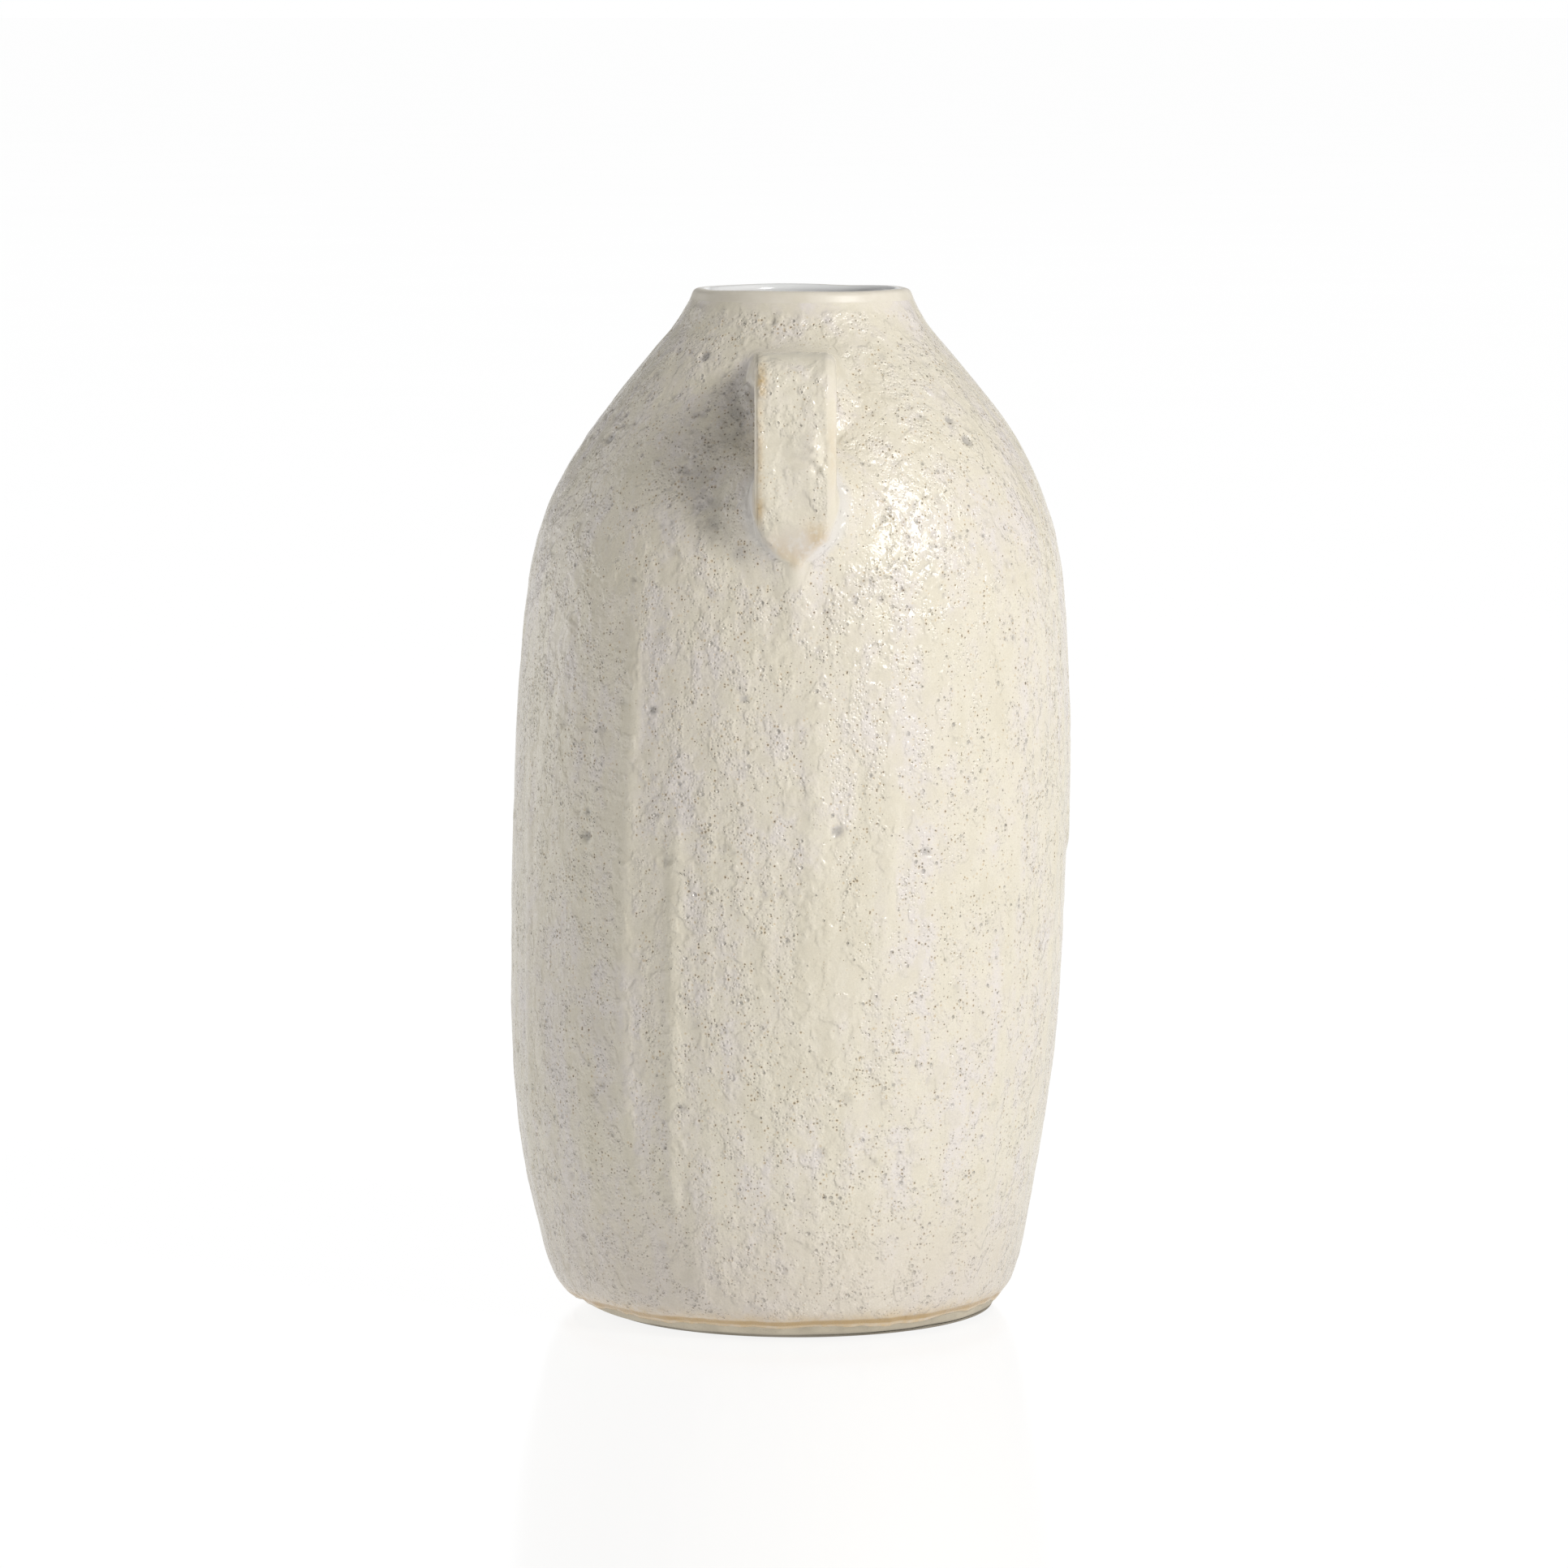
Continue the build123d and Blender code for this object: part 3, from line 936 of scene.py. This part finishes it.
class Look(Nodes):
    """A material built from nodes, in millimetres of the object's own space."""

    def __init__(self, name):
        self.material = bpy.data.materials.new(name)
        self.material.use_nodes = True
        super().__init__(self.material.node_tree)
        self.principled = self.tree.nodes["Principled BSDF"]
        self.place = self.scaled(self.add("TexCoord", {}, "Object"), METRE)

    def scaled(self, place, scale):
        return self.add("VectorMath", {0: place, "Scale": scale}, operation="SCALE")

    def shifted(self, place, shift):
        return self.add("VectorMath", {0: place, 1: (shift, shift, shift)}, operation="ADD")

    def noise(self, size, detail=2.0, rough=0.5, shift=0.0):
        """Noise about 0 to 1 with lumps of that size, or three sizes, in millimetres."""
        sizes = size if isinstance(size, tuple) else (size, size, size)
        at = self.add("VectorMath", {0: self.place, 1: tuple(1.0 / s for s in sizes)}, operation="MULTIPLY")
        inputs = {"Vector": self.shifted(at, shift), "Scale": 1.0, "Detail": detail, "Roughness": rough}
        return self.add("TexNoise", inputs, "Fac")

    def cells(self, size, shift=0.0):
        """Distance from the nearest of points scattered that far apart, and a random number for it."""
        at = self.shifted(self.scaled(self.place, 1.0 / size), shift)
        distance = self.add("TexVoronoi", {"Vector": at, "Scale": 1.0}, "Distance")
        colour = Value(self, distance.socket.node.outputs["Color"])
        return distance * size, self.add("SeparateColor", {0: colour})

    def level(self):
        """Height above the floor."""
        return self.add("SeparateXYZ", {0: self.place}, "Z")

    def mask(self, name):
        """One of the masks stored on the mesh."""
        return self.add("Attribute", {}, "Fac", attribute_name=name)

    def finish(self, colour, roughness, height, gloss=0.5):
        """Sets the surface from its colour, its roughness and a relief in millimetres."""
        bump = self.add("Bump", {"Strength": 1.0, "Distance": MM, "Height": height})
        surface = {
            "Base Color": colour,
            "Roughness": roughness,
            "Specular IOR Level": gloss,
            "Normal": bump,
        }
        for key, value in surface.items():
            self.put(self.principled.inputs[key], value)
        return self.material


LAVENDER = (0.672, 0.620, 0.570)
STONE = (0.668, 0.614, 0.520)
CREAM = (0.672, 0.621, 0.510)
BEIGE = (0.628, 0.576, 0.460)
PEARL = (0.640, 0.612, 0.575)
ROSE = (0.585, 0.520, 0.445)
SPECK = (0.74, 0.69, 0.57)
AMBER = (0.50, 0.34, 0.14)
# Near black painted inside the pinholes: painted shade
PINHOLE_SHADE = (0.13, 0.11, 0.09)
# Grey of dark specks, and painted shade in pit centres and beside the handle
PIT_GREY_AND_PAINTED_SHADE = (0.30, 0.285, 0.27)
PIN_RIM = (0.68, 0.60, 0.46)
FOOT_HAZE = (0.58, 0.42, 0.22)
FOOT_LINE = (0.42, 0.28, 0.12)


def glaze_ground(look, mask, mottle, swarm, pool):
    """The glaze's own colour: broad clouds, streaks down the wall and pools greener than the rest."""
    broad = look.noise((26.0, 26.0, 42.0), 2.0, 0.5)
    streak = look.noise((6.5, 6.5, 95.0), 3.0, 0.55, 3.1)
    blotch = look.noise((8.0, 8.0, 12.0), 1.5, 0.5, 4.7)
    tone = broad * 0.40 + streak * 0.35 + blotch * 0.25 + (mottle - 0.5) * 0.18
    tone = tone + mask["ridge"] * 0.07 - mask["hollow"] * 0.06 + mask["handle"] * 0.05 - swarm * 0.04
    colour = look.ramp(tone, (0.38, LAVENDER), (0.47, STONE), (0.54, CREAM), (0.66, BEIGE))
    colour = look.blend(pool * 0.45, colour, BEIGE)
    return look.blend(mask["band"] * 0.7, colour, PEARL)


def glaze_holes(look, mask, colour, grain, swarm, lively):
    """The glaze's pinholes and pits: the colour with them in it, painted shade darkening their insides,
    their depth, and where the pinholes are.
    """
    crowd = look.noise((6.0, 6.0, 10.0), 2.0, 0.6, 5.5).ease(0.36, 0.58, 0.75, 1.1) * lively
    near_pin, pin_random = look.cells(0.95)
    pin_size = (crowd + mask["crater"] * 0.7) * pin_random.ease(0.3, 1.0, 0.55, 1.2)
    pin_radius = pin_size * 0.22 + 0.01
    pin = near_pin.ease(pin_radius, pin_radius * 0.35)
    pin_rim = near_pin.ease(pin_radius * 2.1, pin_radius)
    dimple = near_pin.ease(0.60, 0.02) * (swarm * 0.13 + 0.06) * lively
    near_pit, pit_random = look.cells(2.2, 4.4)
    pit_radius = (swarm * 0.8 + 0.2) * lively * pit_random.ease(0.1, 1.0) + 0.01
    pit = near_pit.ease(pit_radius * 0.55, pit_radius * 0.1)
    pit_bowl = near_pit.ease(pit_radius, pit_radius * 0.1)
    pit_rim = near_pit.ease(pit_radius * 1.3, pit_radius)
    colour = look.blend(grain.ease(0.55, 0.70) * crowd * 0.5, colour, SPECK)
    colour = look.blend(grain.ease(0.34, 0.25) * crowd * 0.4, colour, PIT_GREY_AND_PAINTED_SHADE)
    rim_colour = look.ramp(pin_random, (0.55, SPECK), (0.85, PIN_RIM), (0.99, AMBER))
    colour = look.blend(pin_rim * 0.45, colour, rim_colour)
    # Painted shade: the centre of each pit darkened
    colour = look.blend(pit * pit_random.ease(0.5, 1.0, 0.15, 0.75), colour, PIT_GREY_AND_PAINTED_SHADE)
    # Greys the crater floors, and paints shade where the handle's shadow falls beside it
    colour = look.blend(mask["crater"] * 0.75, colour, PIT_GREY_AND_PAINTED_SHADE)
    # Painted shade: each pinhole's inside darkened to near black
    colour = look.blend(pin * pin_random.ease(0.2, 1.0, 0.45, 0.85), colour, PINHOLE_SHADE)
    return colour, pin * 0.14 + dimple + pit_bowl * 0.50 - pit_rim * 0.05, pin


def glaze_stains(look, mask, colour, mottle):
    """Pinker glaze towards the foot, and amber where it thins: above the foot and on the handle."""
    foot = mask["foot"]
    colour = look.blend(look.level().ease(55.0, 6.0) * 0.6, colour, ROSE)
    colour = look.blend(foot * mottle.ease(0.3, 0.65, 0.40, 0.85), colour, FOOT_HAZE)
    colour = look.blend(foot.ease(0.68, 0.84) * foot.ease(1.0, 0.955) * 0.9, colour, FOOT_LINE)
    patchy = look.noise(2.2, 3.0, 0.6, 2.2).ease(0.32, 0.55, 0.35, 1.0)
    return look.blend(mask["amber"] * patchy * 0.75, colour, AMBER)


def crater_glaze():
    """The outer glaze: cream to lavender, streaked downward, full of pinholes, pits and small craters."""
    look = Look("crater_glaze")
    names = ("ridge", "smooth", "crater", "hollow", "handle", "band", "foot", "amber")
    mask = {name: look.mask(name) for name in names}
    mottle = look.noise(2.6, 3.0, 0.55, 7.7)
    grain = look.noise(0.5, 2.0, 0.5, 1.9)
    # Where pits swarm, and where the glaze pools smooth
    swarm = look.noise((7.0, 7.0, 9.0), 2.0, 0.6, 6.6).ease(0.42, 0.58)
    pool = look.noise((7.0, 7.0, 10.0), 1.0, 0.5, 11.3).ease(0.55, 0.64)
    # Holes crowd together between the smooth pools, the runs and the handle's edges
    lively = mask["ridge"].ease(0.2, 0.9, 1.0, 0.45) * mask["smooth"].ease(0.1, 0.8, 1.0, 0.0)
    lively = lively * pool.ease(0.2, 0.9, 1.0, 0.40)
    lively = lively * mask["handle"].ease(0.4, 1.0, 1.0, 0.75) * mask["band"].ease(0.1, 0.9, 1.0, 0.35)
    colour = glaze_ground(look, mask, mottle, swarm, pool)
    colour, holes, pin = glaze_holes(look, mask, colour, grain, swarm, lively)
    colour = glaze_stains(look, mask, colour, mottle)
    colour = look.blend(1.0, colour, look.gray(grain * 0.10 + 0.95), "MULTIPLY")
    rough = mottle * 0.12 + 0.21 + pin * 0.3 - mask["handle"] * 0.05
    lumps = look.noise(3.2, 1.0, 0.5, 9.1) * swarm.ease(0.0, 1.0, 0.30, 0.75)
    height = (lumps + grain * 0.035 - holes) * mask["smooth"].ease(0.2, 1.0, 1.0, 0.22)
    return look.finish(colour, rough, height)


def liner_glaze():
    """The liner: a glossy white glaze, a little creamier where it rolls over the lip."""
    look = Look("liner_glaze")
    speck = look.noise(1.4, 2.0, 0.5, 4.0)
    inside = look.ramp(look.noise(18.0), (0.35, (0.76, 0.76, 0.75)), (0.65, (0.81, 0.805, 0.79)))
    cloud = look.noise(5.0, 2.0, 0.5, 2.0)
    over = look.ramp(cloud, (0.3, (0.64, 0.59, 0.49)), (0.7, (0.69, 0.64, 0.55)))
    over_lip = look.mask("over_lip")
    rough = over_lip * 0.26 + 0.10 + speck * 0.10
    height = look.noise(6.0, 2.0, 0.5, 8.0) * 0.10 + speck * 0.02
    return look.finish(look.blend(over_lip, inside, over), rough, height)


def stoneware_clay():
    """The bare clay: warm grey-beige, matt, with fine sand in it, and painted shade along its bottom edge.
    """
    look = Look("stoneware_clay")
    cloud = look.noise(9.0, 3.0, 0.55)
    sand, sand_random = look.cells(0.9)
    colour = look.ramp(cloud, (0.32, (0.42, 0.37, 0.28)), (0.68, (0.53, 0.47, 0.36)))
    grit = sand.ease(0.3, 0.12) * sand_random.ease(0.55, 0.9)
    colour = look.blend(grit * 0.6, colour, (0.30, 0.25, 0.19))
    # Painted shade: the clay darkens to near black towards its bottom edge, where it meets the floor
    colour = look.blend(look.level().ease(2.2, 0.2, 0.0, 0.7), colour, (0.14, 0.125, 0.105))
    height = look.noise(0.7, 3.0, 0.6, 5.0) * 0.10 + cloud * 0.08
    return look.finish(colour, cloud * 0.25 + 0.58, height, gloss=0.35)


# ---- Stage: floor, lights and camera ----

# How brightly the floor glows and how much of it mirrors, and how bright the parts of the room are
FLOOR_GLOW = 1.02
FLOOR_MIRROR = 0.17
WORLD_LOW = 0.20
WORLD_HIGH = 0.40
BACKDROP = 1.0
# The camera: where it stands, in metres, its lens, in millimetres, and how far down it looks, in degrees
CAMERA_PLACE = (-0.0039, -2.0966, 0.3864)
CAMERA_LENS = 162.05
CAMERA_DOWN = 6.25


def white_floor():
    """A white sweep that glows, takes a faint shadow and mirrors what stands on it faintly."""
    look = Look("white_floor")
    mottle = look.noise(400.0)
    look.put(look.principled.inputs["Emission Color"], (1.0, 1.0, 1.0))
    look.put(look.principled.inputs["Emission Strength"], FLOOR_GLOW)
    look.finish(look.gray(mottle * 0.02 + 0.06), 0.9, mottle * 0.01, gloss=0.0)
    plain = Value(look, look.principled.outputs[0])
    mirror = look.add("BsdfGlossy", {"Roughness": 0.16})
    surface = look.add("MixShader", {0: FLOOR_MIRROR, 1: plain, 2: mirror})
    look.put(look.tree.nodes["Material Output"].inputs["Surface"], surface)
    return look.material


def add_floor():
    """A plain white floor well past the camera's view."""
    size = 400.0
    corners = [(-size, -size, 0), (size, -size, 0), (size, size, 0), (-size, size, 0)]
    mesh = bpy.data.meshes.new("floor")
    mesh.from_pydata(corners, [], [(0, 1, 2, 3)])
    mesh.materials.append(white_floor())
    floor = bpy.data.objects.new("floor", mesh)
    bpy.context.scene.collection.objects.link(floor)


def add_world():
    """A pale room: white where it meets the floor and behind the vase, dim elsewhere."""
    world = bpy.data.worlds.new("room")
    world.use_nodes = True
    bpy.context.scene.world = world
    nodes = Nodes(world.node_tree)
    direction = nodes.add("TexCoord", {}, "Generated")
    up = nodes.add("SeparateXYZ", {0: direction}, "Z")
    away = nodes.add("SeparateXYZ", {0: direction}, "Y")
    room = nodes.ramp(up, (0.03, 1.0), (0.07, WORLD_LOW), (0.25, WORLD_LOW), (0.45, WORLD_HIGH))
    low_down = nodes.ramp(up, (0.26, BACKDROP), (0.34, 0.0))
    behind = nodes.ramp(away, (0.90, 0.0), (0.97, 1.0))
    backdrop = nodes.blend(1.0, low_down, behind, "MULTIPLY")
    background = nodes.tree.nodes["Background"].inputs["Color"]
    nodes.put(background, nodes.blend(1.0, room, backdrop, "LIGHTEN"))


def add_light(name, azimuth, elevation, distance, size, power, aim_z):
    """A rectangular soft light: azimuth is round from the camera's side towards +X."""
    light = bpy.data.lights.new(name, "AREA")
    light.shape = "RECTANGLE"
    light.size, light.size_y = size
    light.energy = power
    lamp = bpy.data.objects.new(name, light)
    lamp.visible_camera = False
    a, e = math.radians(azimuth), math.radians(elevation)
    aim = Vector((0, 0, aim_z))
    offset = Vector((math.sin(a) * math.cos(e), -math.cos(a) * math.cos(e), math.sin(e))) * distance
    lamp.location = aim + offset
    lamp.rotation_euler = (-offset).to_track_quat("-Z", "Y").to_euler()
    bpy.context.scene.collection.objects.link(lamp)


def add_camera():
    """A long lens in front of the handle, a little above it, looking slightly down."""
    camera = bpy.data.cameras.new("camera")
    camera.sensor_width = 36.0
    camera.lens = CAMERA_LENS
    camera.clip_end = 2000.0
    eye = bpy.data.objects.new("camera", camera)
    eye.location = CAMERA_PLACE
    eye.rotation_euler = (math.radians(90 - CAMERA_DOWN), 0, 0)
    bpy.context.scene.collection.objects.link(eye)
    bpy.context.scene.camera = eye


outer_pieces, lip_edge, lip_normals = build_outer_skins()
handle_piece = build_handle()
liner_piece = build_liner(lip_edge, lip_normals)
foot_piece = build_foot()

outer_look, liner_look, clay_look = crater_glaze(), liner_glaze(), stoneware_clay()
for piece in [*outer_pieces, handle_piece]:
    piece.data.materials.append(outer_look)
liner_piece.data.materials.append(liner_look)
foot_piece.data.materials.append(clay_look)
for name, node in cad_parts.items():
    node.data.materials.clear()
    if name == "liner_glaze":
        node.data.materials.append(liner_look)
    elif name.endswith("_glaze"):
        node.data.materials.append(outer_look)
    else:
        node.data.materials.append(clay_look)

add_floor()
add_world()
add_light("key", 48, 31, 1.6, (0.34, 0.55), 18.1, 0.15)
add_light("back", -120, 10, 1.6, (1.2, 1.2), 4.0, 0.15)
add_camera()
bpy.context.scene.view_settings.view_transform = "Standard"
